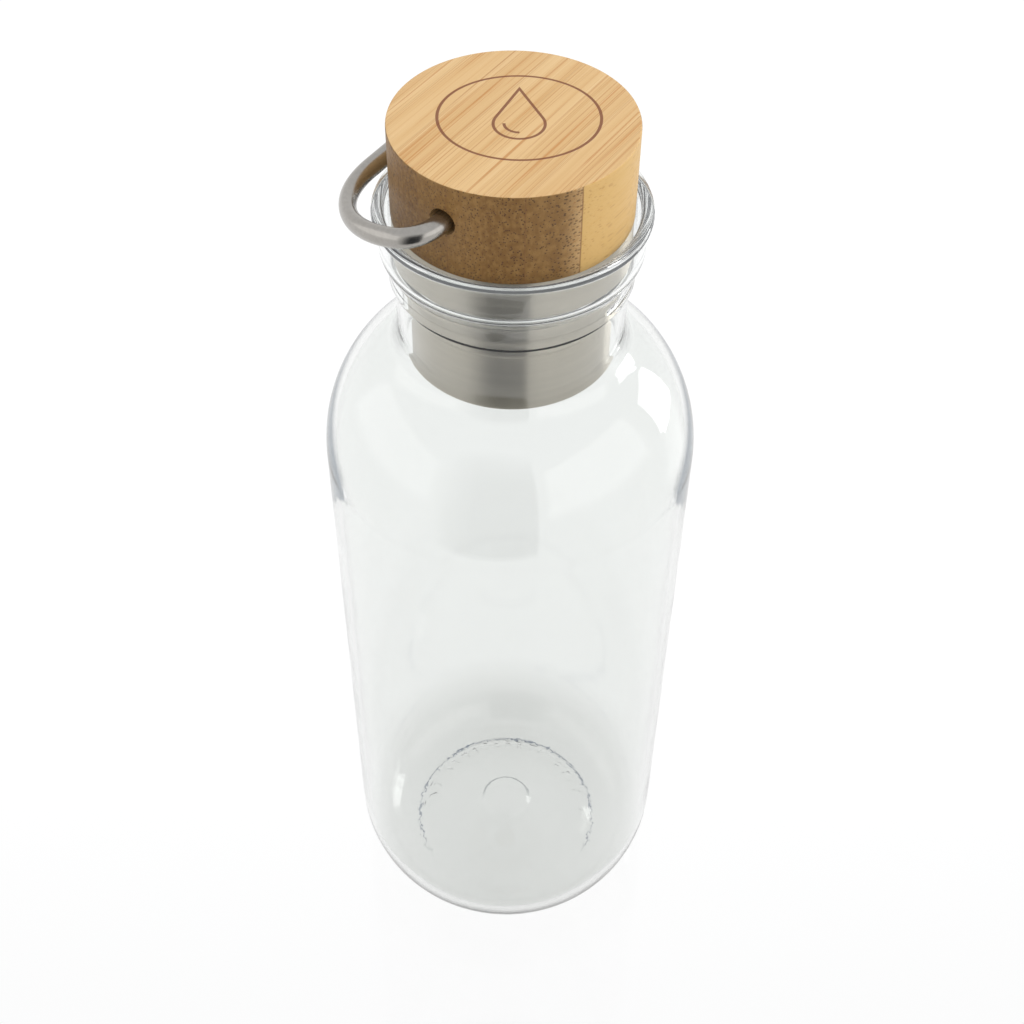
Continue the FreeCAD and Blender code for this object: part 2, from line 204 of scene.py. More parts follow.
class Nodes:
    """A short way to write a node tree."""

    def __init__(self, name):
        self.material = bpy.data.materials.new(name)
        self.material.use_nodes = True
        self.tree = self.material.node_tree
        self.tree.nodes.clear()
        self.out = self.tree.nodes.new("ShaderNodeOutputMaterial")
        self.coords = self.tree.nodes.new("ShaderNodeTexCoord")

    def set(self, socket, value):
        if isinstance(value, bpy.types.NodeSocket):
            self.tree.links.new(value, socket)
        else:
            socket.default_value = value

    def math(self, op, a, b=0.0, c=0.0, clamp=False):
        node = self.tree.nodes.new("ShaderNodeMath")
        node.operation = op
        node.use_clamp = clamp
        for socket, value in zip(node.inputs, (a, b, c)):
            self.set(socket, value)
        return node.outputs[0]

    def split(self, output):
        """One of the texture coordinates, as separate X, Y and Z."""
        node = self.tree.nodes.new("ShaderNodeSeparateXYZ")
        self.set(node.inputs[0], self.coords.outputs[output])
        return list(node.outputs)

    def position_mm(self):
        """Object coordinates in millimetres, as separate X, Y and Z."""
        return [self.math("MULTIPLY", value, 1 / MM) for value in self.split("Object")]

    def vector(self, x, y, z):
        node = self.tree.nodes.new("ShaderNodeCombineXYZ")
        for socket, value in zip(node.inputs, (x, y, z)):
            self.set(socket, value)
        return node.outputs[0]

    def scaled(self, xyz, factors, offset=(0, 0, 0)):
        return self.vector(*[self.math("MULTIPLY_ADD", v, k, o) for v, k, o in zip(xyz, factors, offset)])

    def noise(self, vector, scale=1.0, detail=2.0, roughness=0.5, distortion=0.0):
        node = self.tree.nodes.new("ShaderNodeTexNoise")
        self.set(node.inputs["Vector"], vector)
        self.set(node.inputs["Scale"], scale)
        self.set(node.inputs["Detail"], detail)
        self.set(node.inputs["Roughness"], roughness)
        self.set(node.inputs["Distortion"], distortion)
        return node.outputs["Fac"]

    def voronoi(self, vector, scale=1.0, randomness=1.0, output="Distance"):
        node = self.tree.nodes.new("ShaderNodeTexVoronoi")
        self.set(node.inputs["Vector"], vector)
        self.set(node.inputs["Scale"], scale)
        self.set(node.inputs["Randomness"], randomness)
        return node.outputs[output]

    def white_noise(self, value):
        node = self.tree.nodes.new("ShaderNodeTexWhiteNoise")
        node.noise_dimensions = "1D"
        self.set(node.inputs["W"], value)
        return node.outputs["Value"]

    def ramp(self, value, low, high, to_low=0.0, to_high=1.0, smooth=True):
        node = self.tree.nodes.new("ShaderNodeMapRange")
        node.interpolation_type = "SMOOTHSTEP" if smooth else "LINEAR"
        for socket, v in zip(node.inputs, (value, low, high, to_low, to_high)):
            self.set(socket, v)
        return node.outputs[0]

    def mix(self, factor, a, b, blend="MIX"):
        node = self.tree.nodes.new("ShaderNodeMix")
        node.data_type = "RGBA"
        node.blend_type = blend
        self.set(node.inputs[0], factor)
        for socket, value in ((node.inputs[6], a), (node.inputs[7], b)):
            self.set(socket, value if isinstance(value, bpy.types.NodeSocket) else (*value, 1.0))
        return node.outputs[2]

    def bump(self, height, strength=0.3, distance=0.0001, normal=None):
        node = self.tree.nodes.new("ShaderNodeBump")
        self.set(node.inputs["Height"], height)
        self.set(node.inputs["Strength"], strength)
        self.set(node.inputs["Distance"], distance)
        if normal:
            self.set(node.inputs["Normal"], normal)
        return node.outputs[0]

    def principled(self, **values):
        """A Principled shader on the output; names have underscores for spaces."""
        node = self.tree.nodes.new("ShaderNodeBsdfPrincipled")
        for name, value in values.items():
            socket = node.inputs[name.replace("_", " ")]
            if not isinstance(value, bpy.types.NodeSocket) and socket.type == "RGBA":
                value = (*value, 1.0)
            self.set(socket, value)
        self.set(self.out.inputs["Surface"], node.outputs[0])
        return node

    def blend_shaders(self, factor, first, second):
        """A mix of two shader nodes on the output."""
        node = self.tree.nodes.new("ShaderNodeMixShader")
        self.set(node.inputs[0], factor)
        self.set(node.inputs[1], first.outputs[0])
        self.set(node.inputs[2], second.outputs[0])
        self.set(self.out.inputs["Surface"], node.outputs[0])

    def length(self, x, y):
        return self.math("SQRT", self.math("ADD", self.math("MULTIPLY", x, x), self.math("MULTIPLY", y, y)))

    def radial_tangent(self):
        node = self.tree.nodes.new("ShaderNodeTangent")
        node.direction_type = "RADIAL"
        node.axis = "Z"
        return node.outputs[0]


def glass_material():
    n = Nodes("bottle_glass")
    x, y, z = n.position_mm()
    ripple = n.noise(n.scaled((x, y, z), (0.06, 0.06, 0.035)), detail=2.0, roughness=0.45)
    angle = n.math("ARCTAN2", y, x)
    radius = n.length(x, y)
    # A ring of short moulded ticks under the base
    wear = n.noise(n.scaled((x, y, z), (0.22, 0.22, 0.22)), detail=3.0)
    ticks = n.ramp(n.math("SINE", n.math("MULTIPLY_ADD", wear, 9.0, n.math("MULTIPLY", angle, 40))), 0.3, 0.8)
    ticks = n.math("MULTIPLY", ticks, n.ramp(wear, 0.42, 0.60))
    band = n.math("MULTIPLY", n.ramp(radius, 17.8, 18.1), n.ramp(radius, 20.3, 20.0))
    low = n.ramp(z, 5.2, 4.8)
    marks = n.math("MULTIPLY", n.math("MULTIPLY", ticks, band), low)
    normal = n.bump(ripple, 0.04, 0.0008)
    normal = n.bump(marks, 0.4, 0.0002, normal)
    # The rough seam where the bottom was pinched off, just inside the standing ring: its dark line is painted
    # shade, fading out towards the front
    ragged = n.noise(n.scaled((x, y, z), (0.75, 0.75, 0.3)), detail=4.0, roughness=0.65)
    along = n.noise(n.scaled((x, y, z), (0.16, 0.16, 0.3), (4, 4, 0)), detail=3.0)
    off = n.math("ABSOLUTE", n.math("SUBTRACT", n.math("MULTIPLY_ADD", ragged, 5.0, radius), 24.8))
    wide = n.ramp(along, 0.36, 0.60, 0.08, 0.26)
    nearer = n.math("SUBTRACT", n.math("MULTIPLY", x, FRONT_SIN), n.math("MULTIPLY", y, FRONT_COS))
    seam = n.math("MULTIPLY", n.ramp(n.math("SUBTRACT", off, wide), 0.0, 0.10, 1.0, 0.0), n.ramp(z, 2.2, 1.8))
    seam = n.math("MULTIPLY", seam, n.ramp(n.math("MULTIPLY_ADD", along, 12.0, nearer), 12.0, 20.0, 1.0, 0.0))
    # Painted shade: the glass darkens towards the bottom, below 25 mm, standing in for the shadowed table
    # under the base
    thick = n.ramp(z, 25.0, 2.0)
    tint = n.mix(thick, (0.908, 0.920, 0.910), (0.70, 0.712, 0.695))
    # Painted shade: the shoulder's dark blue-grey edges, mixed into the glass tint
    tint = n.mix(n.math("MULTIPLY", painted_shoulder_shade(n, x, y, z, radius), 0.95), tint, (0.046, 0.070, 0.096))
    # Painted shade: a dark arc along the button's edge, only on its side away from the front
    painted_button_shade = n.math("ABSOLUTE", n.math("SUBTRACT", n.math("MULTIPLY_ADD", ragged, 1.2, radius), 6.45))
    painted_button_shade = n.math("MULTIPLY", n.ramp(painted_button_shade, 0.26, 0.50, 1.0, 0.0), n.ramp(nearer, 1.0, -3.0))
    painted_button_shade = n.math("MULTIPLY", painted_button_shade, n.math("MULTIPLY", n.ramp(z, 7.9, 8.2), n.ramp(z, 12.0, 11.0)))
    tint = n.mix(n.math("MULTIPLY", painted_button_shade, 0.85), tint, (0.12, 0.14, 0.15))
    # Painted shade along the base seam
    tint = n.mix(seam, tint, (0.015, 0.03, 0.065))
    # Not real light: a faint glow in place of what a render loses inside the thick rim, which ends black
    leak = n.math("MULTIPLY", n.ramp(z, 181.0, 186.0), RIM_GLOW)
    n.principled(
        Base_Color=tint, Roughness=0.0, IOR=1.5, Transmission_Weight=1.0, Normal=normal,
        Emission_Color=(0.94, 0.97, 1.0), Emission_Strength=leak,
    )
    return n.material


def painted_shoulder_shade(n, x, y, z, radius):
    """Painted shade: a dark blue-grey edge where the shoulder is seen edge on, in place of the dark
    surroundings the glass would show there; widest at its foot, where it ends raggedly.
    """
    weight = n.tree.nodes.new("ShaderNodeLayerWeight")
    weight.inputs["Blend"].default_value = 0.5
    torn = n.noise(n.scaled((x, y, z), (0.5, 0.5, 0.15)), detail=3.0)
    facing = weight.outputs["Facing"]
    level = n.math("ADD", n.math("MULTIPLY_ADD", torn, 6.0, z), n.math("MULTIPLY_ADD", facing, 50.0, -53.0))
    foot = n.ramp(level, EDGE_FOOT_Z - 0.8, EDGE_FOOT_Z + 0.8)
    start = n.ramp(z, EDGE_FOOT_Z + 18.0, EDGE_TOP_Z, 0.60, 0.80, smooth=False)
    reach = n.math("DIVIDE", n.math("SUBTRACT", facing, start), 0.12, clamp=True)
    rise = n.math("MAXIMUM", n.math("MULTIPLY_ADD", z, 1 / SHOULDER_B, -SHOULDER_Z / SHOULDER_B), 0.0)
    dome = n.math("SQRT", n.math("MAXIMUM", n.math("SUBTRACT", 1.0, n.math("MULTIPLY", rise, rise)), 0.0))
    outer = n.math("GREATER_THAN", radius, n.math("MULTIPLY_ADD", dome, SHOULDER_A, SHOULDER_R - WALL / 2))
    reach = n.math("MULTIPLY", reach, outer)
    return n.math("MULTIPLY", n.math("MULTIPLY", foot, reach), n.ramp(z, EDGE_TOP_Z + 6.0, EDGE_TOP_Z - 6.0))


def steel_material(name, color, roughness, anisotropy, line_scale, line_strength):
    n = Nodes(name)
    x, y, z = n.position_mm()
    lines = n.noise(n.scaled((x, y, z), (0.12, 0.12, line_scale)), detail=3.0, roughness=0.6)
    broad = n.noise(n.scaled((x, y, z), (0.05, 0.05, 0.9)), detail=2.0)
    tone = n.ramp(broad, 0.3, 0.7, 0.97, 1.03)
    shade = n.mix(1.0, color, n.vector(tone, tone, tone), "MULTIPLY")
    rough = n.math("MULTIPLY_ADD", lines, 0.08, roughness - 0.04)
    n.principled(
        Base_Color=shade, Metallic=1.0, Roughness=rough, Anisotropic=anisotropy, Anisotropic_Rotation=0.25,
        Tangent=n.radial_tangent(), Normal=n.bump(lines, line_strength, 0.00004),
    )
    return n.material


def bail_material():
    n = Nodes("bail_steel")
    x, y, z = n.position_mm()
    grain = n.noise(n.scaled((x, y, z), (1.2, 1.2, 1.2)), detail=5.0, roughness=0.65)
    scratch = n.noise(n.scaled((x, y, z), (7.0, 0.6, 7.0)), detail=3.0)
    tone = n.ramp(grain, 0.3, 0.75, 0.94, 1.04)
    shade = n.mix(1.0, (0.38, 0.362, 0.336), n.vector(tone, tone, tone), "MULTIPLY")
    rough = n.math("MULTIPLY_ADD", scratch, 0.10, 0.17)
    n.principled(
        Base_Color=shade, Metallic=1.0, Roughness=rough, Normal=n.bump(scratch, 0.05, 0.00004),
    )
    return n.material


def bamboo_material():
    """Laminated bamboo: strips side by side with their fibres along Y, whose ends show as dots."""
    n = Nodes("bamboo")
    x, y, z = n.position_mm()
    nx, ny, nz = n.split("Normal")
    wander = n.math("MULTIPLY_ADD", n.noise(n.scaled((x, y, z), (0.03, 0.05, 0.05))), 0.5, -0.25)
    across = n.math("DIVIDE", n.math("SUBTRACT", n.math("ADD", x, wander), STRIP_START), STRIP_W)
    strip = n.math("FLOOR", across)
    inside = n.math("SUBTRACT", across, strip)
    strip_tone = n.white_noise(n.math("ADD", strip, 7.3))
    seam = n.math("MINIMUM", inside, n.math("SUBTRACT", 1.0, inside))
    seam_line = n.ramp(seam, 0.004, 0.016, 1.0, 0.0)
    faint = n.ramp(n.math("ABSOLUTE", n.math("SUBTRACT", x, 7.0)), 1.0, 2.0, 0.15, 1.0)
    end_face = n.ramp(n.math("ABSOLUTE", ny), 0.32, 0.62)
    side_face = n.ramp(n.math("ABSOLUTE", nz), 0.8, 0.5)
    last_strip = n.math("GREATER_THAN", strip, 2.5)

    # Long-grain colour: soft bands and thin streaks along Y
    bands = n.noise(n.scaled((x, y, z), (0.42, 0.012, 0.42), (3.1, 0, 0)), detail=3.0, roughness=0.55)
    thin = n.noise(n.scaled((x, y, z), (2.6, 0.018, 2.6), (0, 1.7, 0)), detail=4.0, roughness=0.6)
    hair = n.noise(n.scaled((x, y, z), (7.5, 0.03, 7.5), (5, 0, 2)), detail=2.0)
    patch = n.noise(n.scaled((x, y, z), (0.25, 0.045, 0.25)), detail=2.0)
    long_color = n.mix(n.ramp(strip_tone, 0.0, 1.0), (0.56, 0.355, 0.155), (0.61, 0.405, 0.190))
    long_color = n.mix(n.ramp(bands, 0.42, 0.72, 0.0, 0.50), long_color, (0.49, 0.275, 0.095))
    long_color = n.mix(n.ramp(bands, 0.44, 0.25, 0.0, 0.45), long_color, (0.69, 0.500, 0.270))
    streak = n.math("MULTIPLY", n.ramp(thin, 0.55, 0.64), n.ramp(patch, 0.35, 0.60, 0.25, 1.0))
    long_color = n.mix(n.math("MULTIPLY", streak, 0.70), long_color, (0.44, 0.180, 0.042))
    line = n.noise(n.scaled((x, y, z), (4.2, 0.010, 4.2), (0, 0.4, 9.0)), detail=1.0)
    line = n.math("MULTIPLY", n.ramp(line, 0.60, 0.66), 0.55)
    long_color = n.mix(line, long_color, (0.40, 0.180, 0.050))
    pale = n.math("MULTIPLY", n.ramp(hair, 0.58, 0.70), 0.35)
    long_color = n.mix(pale, long_color, (0.73, 0.565, 0.335))

    # End-grain colour: brown ground with the fibre bundles as dark dots, larger on one side of a strip
    end_color = n.mix(n.ramp(strip_tone, 0.0, 1.0), (0.148, 0.069, 0.015), (0.188, 0.094, 0.022))
    mottle = n.noise(n.scaled((x, y, z), (1.4, 0.1, 0.8)), detail=5.0)
    end_color = n.mix(n.ramp(mottle, 0.35, 0.7, 0.0, 0.6), end_color, (0.272, 0.152, 0.044))
    dots = n.voronoi(n.scaled((x, y, z), (2.5, 0.06, 1.9)))
    size = n.math("MULTIPLY_ADD", inside, 0.12, 0.23)
    dot = n.ramp(n.math("SUBTRACT", dots, size), -0.08, 0.06, 1.0, 0.0)
    specks = n.voronoi(n.scaled((x, y, z), (4.6, 0.1, 3.6)))
    speck = n.ramp(specks, 0.12, 0.26, 0.6, 0.0)

    ground = n.mix(n.math("MULTIPLY", end_face, side_face), long_color, end_color)
    pale_side = n.math("MULTIPLY", last_strip, side_face)
    ground = n.mix(n.math("MULTIPLY", pale_side, 0.85), ground, (0.58, 0.365, 0.120))
    dot_color = n.mix(pale_side, (0.060, 0.026, 0.008), (0.34, 0.170, 0.045))
    dot_mix = n.math("MULTIPLY", n.math("MULTIPLY", n.math("MAXIMUM", dot, speck), side_face),
                     n.math("MULTIPLY_ADD", end_face, 0.46, 0.36))
    ground = n.mix(dot_mix, ground, dot_color)
    glue = n.math("MULTIPLY", faint, n.math("MULTIPLY_ADD", side_face, 0.42, 0.2))
    ground = n.mix(n.math("MULTIPLY", seam_line, glue), ground, (0.16, 0.070, 0.022))

    # Burnt-in ring and droplet on the top face
    ex, ey = n.math("SUBTRACT", x, 0.3), n.math("SUBTRACT", y, 1.2)
    dx = n.math("ADD", n.math("MULTIPLY", ex, FRONT_COS), n.math("MULTIPLY", ey, FRONT_SIN))
    dy = n.math("SUBTRACT", n.math("MULTIPLY", ey, FRONT_COS), n.math("MULTIPLY", ex, FRONT_SIN))
    ring = n.math("ABSOLUTE", n.math("SUBTRACT", n.length(dx, n.math("MULTIPLY", dy, 1.12)), MARK_RING_R))
    drop_y = n.math("ADD", dy, 2.0)
    outline = n.math("MINIMUM", droplet(n, dx, drop_y, 4.3, 10.3), droplet(n, dx, drop_y, 2.5, 0.0))
    burn = n.ramp(n.math("MINIMUM", ring, outline), 0.20, 0.32, 1.0, 0.0)
    burn = n.math("MULTIPLY", burn, n.ramp(nz, 0.9, 0.97))
    ground = n.mix(n.math("MULTIPLY", burn, 0.9), ground, (0.165, 0.048, 0.016))

    sunk = n.math("ADD", dot_mix, n.math("MULTIPLY", burn, 1.6))
    height = n.math("SUBTRACT", n.math("MULTIPLY", thin, 0.25), sunk)
    rough = n.ramp(thin, 0.3, 0.7, 0.42, 0.56)
    n.principled(
        Base_Color=ground, Roughness=rough, Specular_IOR_Level=0.35, Normal=n.bump(height, 0.5, 0.00006),
    )
    return n.material


def droplet(n, x, y, radius, apex):
    """Distance to a droplet's outline: a circle whose top is drawn out to a point.

    With apex 0 it is an open arc inside the droplet."""
    side = n.math("ABSOLUTE", x)
    round_part = n.math("SUBTRACT", n.length(x, y), radius)
    if not apex:
        away = n.math("MAXIMUM", n.math("ADD", y, 0.2), n.math("ADD", x, 0.2))
        return n.math("MAXIMUM", n.math("ABSOLUTE", round_part), away)
    sine = radius / apex
    cosine = math.sqrt(1 - sine * sine)
    along = n.math("ADD", n.math("MULTIPLY", side, cosine), n.math("MULTIPLY", y, sine))
    slope = n.math("SUBTRACT", along, radius)
    upper = n.math("GREATER_THAN", n.math("MULTIPLY", y, cosine), n.math("MULTIPLY", side, sine))
    sloped = n.math("MULTIPLY", slope, upper)
    rounded = n.math("MULTIPLY", round_part, n.math("SUBTRACT", 1.0, upper))
    return n.math("ABSOLUTE", n.math("ADD", sloped, rounded))


def plastic_material():
    n = Nodes("core_plastic")
    x, y, z = n.position_mm()
    fine = n.noise(n.scaled((x, y, z), (3, 3, 3)), detail=3.0)
    shade = n.mix(n.ramp(fine, 0.3, 0.7), (0.78, 0.78, 0.75), (0.83, 0.83, 0.80))
    n.principled(Base_Color=shade, Roughness=0.45, Normal=n.bump(fine, 0.15, 0.00005))
    return n.material


def silicone_material():
    n = Nodes("seal_rubber")
    x, y, z = n.position_mm()
    fine = n.noise(n.scaled((x, y, z), (2, 2, 2)), detail=2.0)
    shade = n.mix(fine, (0.86, 0.87, 0.86), (0.92, 0.93, 0.92))
    n.principled(
        Base_Color=shade, Roughness=0.38, Transmission_Weight=0.6, IOR=1.41,
        Normal=n.bump(fine, 0.1, 0.00005),
    )
    return n.material


# ---------------------------------------------------------------- pieces

def bottle_profile():
    """The bottle's section as one line: underside, outside, over the rim, and down inside to the button."""
    corner, shoulder = (24.0, CORNER_B), (SHOULDER_R, SHOULDER_Z)
    neck_deg = math.degrees(math.acos((NECK_R - SHOULDER_R) / SHOULDER_A))
    in_a, in_b = SHOULDER_A - WALL, SHOULDER_B - WALL
    neck_in_deg = math.degrees(math.acos((NECK_BORE_R - SHOULDER_R) / in_a))
    neck_z = SHOULDER_Z + SHOULDER_B * math.sin(math.radians(neck_deg))
    neck_in_z = SHOULDER_Z + in_b * math.sin(math.radians(neck_in_deg))
    bowl = (20.3, 191.0)
    bowl_deg = -math.degrees(math.acos((22.2 - 20.3) / 3.5))
    bowl_end = (22.2, 191.0 + 3.5 * math.sin(math.radians(bowl_deg)))
    return chain(
        dome_arc(22.3, 0.7, 6.6, 0.0, 20.5),
        (0.8, straight((20.5, 1.63), (23.2, 0.0))),
        (0.6, straight((23.2, 0.0), (24.0, 0.0), 0.4)),
        (0.3, oval(corner, CORNER_A, CORNER_B, -90, 0, 40)),
        (0, straight((BODY_R, CORNER_B), (BODY_R, SHOULDER_Z), 3.0)),
        (0, oval(shoulder, SHOULDER_A, SHOULDER_B, 0, neck_deg, 48)),
        (3.7, straight((NECK_R, neck_z), (NECK_R, 183.3))),
        (0.7, straight((NECK_R, 183.3), (22.2, 183.3), 0.3)),
        (0.5, straight((22.2, 183.3), bowl_end)),
        (0.5, oval(bowl, 3.5, 3.5, bowl_deg, 0, 14)),
        (0, straight((23.8, 191.0), (23.8, 196.7))),
        (0.5, straight((23.8, 196.7), (24.35, 196.7), 0.3)),
        (0.25, oval((23.475, 197.0), 1.175, 1.0, -15, 180, 20)),
        (0, straight((22.3, 197.0), (22.3, 191.0))),
        (0, oval(bowl, 2.0, 2.0, 0, -90, 10)),
        (0, straight((20.3, 189.0), (19.9, 189.0), 0.2)),
        (0.2, straight((19.9, 189.0), (19.9, 181.8), 0.16)),
        (0.2, straight((19.9, 181.8), (NECK_BORE_R, 181.2), 0.3)),
        (0.2, straight((NECK_BORE_R, 181.2), (NECK_BORE_R, neck_in_z))),
        (4.9, oval(shoulder, in_a, in_b, neck_in_deg, 0, 48)),
        (0, straight((34.7, SHOULDER_Z), (34.7, CORNER_B), 3.0)),
        (0, oval(corner, CORNER_A - WALL, 16.8, 0, -90, 40)),
        (2.2, dome_arc(24.0, 2.2, 8.9, 24.0, 6.4)),
        (1.5, straight((6.4, 8.45), (5.2, 9.9), 0.3)),
        (0.9, straight((5.2, 9.9), (0.0, 10.2), 0.8)),
    )


def ridge_height(z, angle, start_z, turns, base_half, crest_half, height):
    """How far a helical ridge stands out at a height and an angle."""
    total = 0.0
    for turn in range(-1, int(turns) + 2):
        along = (angle / (2 * math.pi) + turn) / turns
        if not -0.02 < along < 1.02:
            continue
        middle = start_z + LEAD * (angle / (2 * math.pi) + turn)
        off = abs(z - middle)
        fade = min(1.0, max(0.0, (along + 0.02) / 0.06), max(0.0, (1.02 - along) / 0.06))
        slope = min(1.0, max(0.0, (base_half - off) / (base_half - crest_half)))
        total = max(total, height * fade * slope * slope * (3 - 2 * slope))
    return total


def make_bottle():
    seed = random.Random(5)
    waves = [(k, seed.uniform(0, 2 * math.pi), seed.uniform(0.3, 1.0) / k ** 0.35) for k in range(2, 110)]

    def jag(angle):
        return sum(a * math.sin(k * angle + p) for k, p, a in waves) * 0.035

    def shift(r, z, angle):
        if 21.0 < r < 23.6 and z < 1.4:
            return r + jag(angle), z
        if 19.0 < r < 19.95 and 182.0 < z < 189.0:
            return r - ridge_height(z, angle, 184.2, 0.95, 0.75, 0.45, 0.65), z
        return r, z

    bottle = lathe("bottle_clear", bottle_profile(), 288, shift)
    bottle.data.materials.append(glass_material())
    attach(bottle, "bottle")
    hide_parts("bottle_body")
    return bottle


def make_cap():
    profile = chain(
        straight((0, CAP_Z), (CAP_R, CAP_Z), 3.0),
        (0.25, straight((CAP_R, CAP_Z), (CAP_R, TOP_Z), 1.2)),
        (0.42, straight((CAP_R, TOP_Z), (0, TOP_Z), 3.0)),
        count=5,
    )
    cap = lathe("bamboo_block", profile, 256)
    for side in (-1, 1):
        bm = bmesh.new()
        depth = (CAP_R + 2 - PIVOT_BORE_IN) * MM
        place = Vector((0, side * (PIVOT_BORE_IN * MM + depth / 2), PIVOT_Z * MM))
        bmesh.ops.create_cone(
            bm, cap_ends=True, segments=72, radius1=PIVOT_BORE_R * MM, radius2=PIVOT_BORE_R * MM, depth=depth,
            matrix=Matrix.Translation(place) @ Matrix.Rotation(math.radians(90), 4, "X"),
        )
        cutter_mesh = bpy.data.meshes.new("bore_cutter")
        bm.to_mesh(cutter_mesh)
        bm.free()
        cutter = bpy.data.objects.new("bore_cutter", cutter_mesh)
        bpy.context.collection.objects.link(cutter)
        cut = cap.modifiers.new("bore", "BOOLEAN")
        cut.operation = "DIFFERENCE"
        cut.solver = "EXACT"
        cut.object = cutter
        graph = bpy.context.evaluated_depsgraph_get()
        mesh = bpy.data.meshes.new_from_object(cap.evaluated_get(graph))
        cap.modifiers.clear()
        cap.data = mesh
        bpy.data.objects.remove(cutter)
    mark_sharp(cap, 35)
    cap.data.materials.clear()
    cap.data.materials.append(bamboo_material())
    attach(cap, "lid")
    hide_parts("bamboo_cap")
    return cap


def make_band():
    profile = chain(
        straight((20.75, 189.9), (21.2, 189.9), 0.2),
        (0.15, straight((21.2, 189.9), (21.2, 197.0), 0.8)),
        (0.12, straight((21.2, 197.0), (17.0, 197.0))),
        (0.1, straight((17.0, 197.0), (17.0, 196.55), 0.2)),
        (0.1, straight((17.0, 196.55), (20.75, 196.55))),
        (0.1, straight((20.75, 196.55), (20.75, 189.9))),
        count=4,
    )
    band = lathe("steel_ring", profile[:-1], 256, closed=True)
    mark_sharp(band, 40)
    band.data.materials.append(steel_material("ring_steel", (0.49, 0.452, 0.385), 0.36, 1.0, 9.0, 0.04))
    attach(band, "lid")
    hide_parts("steel_band")
    return band


def make_shell():
    bead = [
        (18.05 + math.cos(math.radians(a)), 179.8 + math.sin(math.radians(a))) for a in range(-63, 64, 9)
    ]
    outside = chain(
        straight((0, 165.5), (18.5, 165.5), 2.0),
        (1.5, straight((18.5, 165.5), (18.5, 178.9))),
        (0.3, bead),
        (0.3, straight((18.6, 180.75), (18.6, 188.8), 0.16)),
        (0.1, straight((18.6, 188.8), (18.0, 188.8), 0.2)),
        (0.1, straight((18.0, 188.8), (18.0, 166.0), 2.0)),
        (1.0, straight((18.0, 166.0), (0, 166.0), 2.0)),
    )

    def shift(r, z, angle):
        if 18.5 < r < 18.7 and z > 181.0:
            return r + ridge_height(z, angle, 182.9, 1.15, 0.85, 0.40, 1.1), z
        return r, z

    shell = lathe("steel_plug", outside, 256, shift)
    mark_sharp(shell, 50)
    shell.data.materials.append(steel_material("plug_steel", (0.55, 0.508, 0.435), 0.36, 1.0, 9.0, 0.04))
    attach(shell, "lid")
    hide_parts("plug_shell")
    return shell


def bail_line():
    """Points, headings and flatness along the bail, in its own plane: u along the pivot axis, v away."""
    half_w, reach, arm_r, corner_r, pin_end = 27.4, 25.4, 5.4, 19.5, 13.4
    bend_u, corner_u, corner_v = half_w - arm_r, half_w - corner_r, reach - corner_r
    half = [((pin_end + (bend_u - pin_end) * k / 8, 0.0), 0.0, 0.0) for k in range(9)]
    for k in range(1, 16):
        t = math.radians(6 * k)
        place = (bend_u + arm_r * math.sin(t), arm_r - arm_r * math.cos(t))
        half.append((place, 6.0 * k, k / 15))
    for k in range(37):
        t = math.radians(2.5 * k)
        place = (corner_u + corner_r * math.cos(t), corner_v + corner_r * math.sin(t))
        half.append((place, 90 + 2.5 * k, 1.0))
    half += [((corner_u * k / 8, reach), 180.0, 1.0) for k in range(7, -1, -1)]
    return half + [((-u, v), 360 - heading, flat) for (u, v), heading, flat in reversed(half[:-1])]


def make_bail():
    droop = math.radians(16.0)
    verts, faces, around = [], [], 40
    line = bail_line()
    for (u, v), heading, flat in line:
        soft = flat * flat * (3 - 2 * flat)
        thick, wide = 1.75 + soft * (1.5 - 1.75), 1.75 + soft * (1.8 - 1.75)
        t = math.radians(heading)
        out = (math.sin(t), -math.cos(t))
        for k in range(around):
            a = 2 * math.pi * k / around
            uu = u + out[0] * thick * math.cos(a)
            vv = v + out[1] * thick * math.cos(a)
            w = wide * math.sin(a)
            verts.append((
                -vv * math.cos(droop) + w * math.sin(droop), uu,
                PIVOT_Z - vv * math.sin(droop) - w * math.cos(droop),
            ))
    for s in range(len(line) - 1):
        for k in range(around):
            n = (k + 1) % around
            a, b = s * around, (s + 1) * around
            faces.append((a + k, a + n, b + n, b + k))
    faces.append(tuple(range(around)))
    faces.append(tuple(range((len(line) - 1) * around, len(line) * around)))
    bail = new_object("steel_bail", verts, faces)
    mark_sharp(bail, 50)
    bail.data.materials.append(bail_material())
    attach(bail, "bail")
    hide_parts("bail_handle")
    return bail


def make_gasket():
    section = chain(
        straight((19.7, 189.6), (19.7, 190.15), 0.2),
        (0.25, straight((19.7, 190.15), (20.4, 190.15), 0.2)),
        (0.25, straight((20.4, 190.15), (20.4, 189.05), 0.2)),
        (0.25, straight((20.4, 189.05), (19.7, 189.05), 0.2)),
        (0.25, straight((19.7, 189.05), (19.7, 189.6), 0.2)),
        count=5,
    )
    gasket = lathe("silicone_ring", section[:-1], 192, closed=True)
    gasket.data.materials.append(silicone_material())
    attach(gasket, "seal")
    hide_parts("neck_gasket")
    return gasket


def dress_hidden():
    """Materials for the CAD nodes that stay: the core and its screws."""
    screw_steel = ("screw_steel", (0.55, 0.55, 0.56), 0.35, 0.2, 3.0, 0.1)
    for node, material in (("plug_core", plastic_material()), ("core_screws", steel_material(*screw_steel))):
        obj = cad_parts[node]
        if not obj.material_slots:
            obj.data.materials.append(material)
        for slot in obj.material_slots:
            slot.material = material


# ---------------------------------------------------------------- studio

def plain_sheet(name, width, height):
    """A flat rectangle about the origin, facing +Z."""
    bm = bmesh.new()
    bmesh.ops.create_grid(bm, x_segments=4, y_segments=4, size=0.5)
    bmesh.ops.scale(bm, vec=(width, height, 1), verts=bm.verts)
    mesh = bpy.data.meshes.new(name)
    bm.to_mesh(mesh)
    bm.free()
    sheet = bpy.data.objects.new(name, mesh)
    bpy.context.collection.objects.link(sheet)
    return sheet


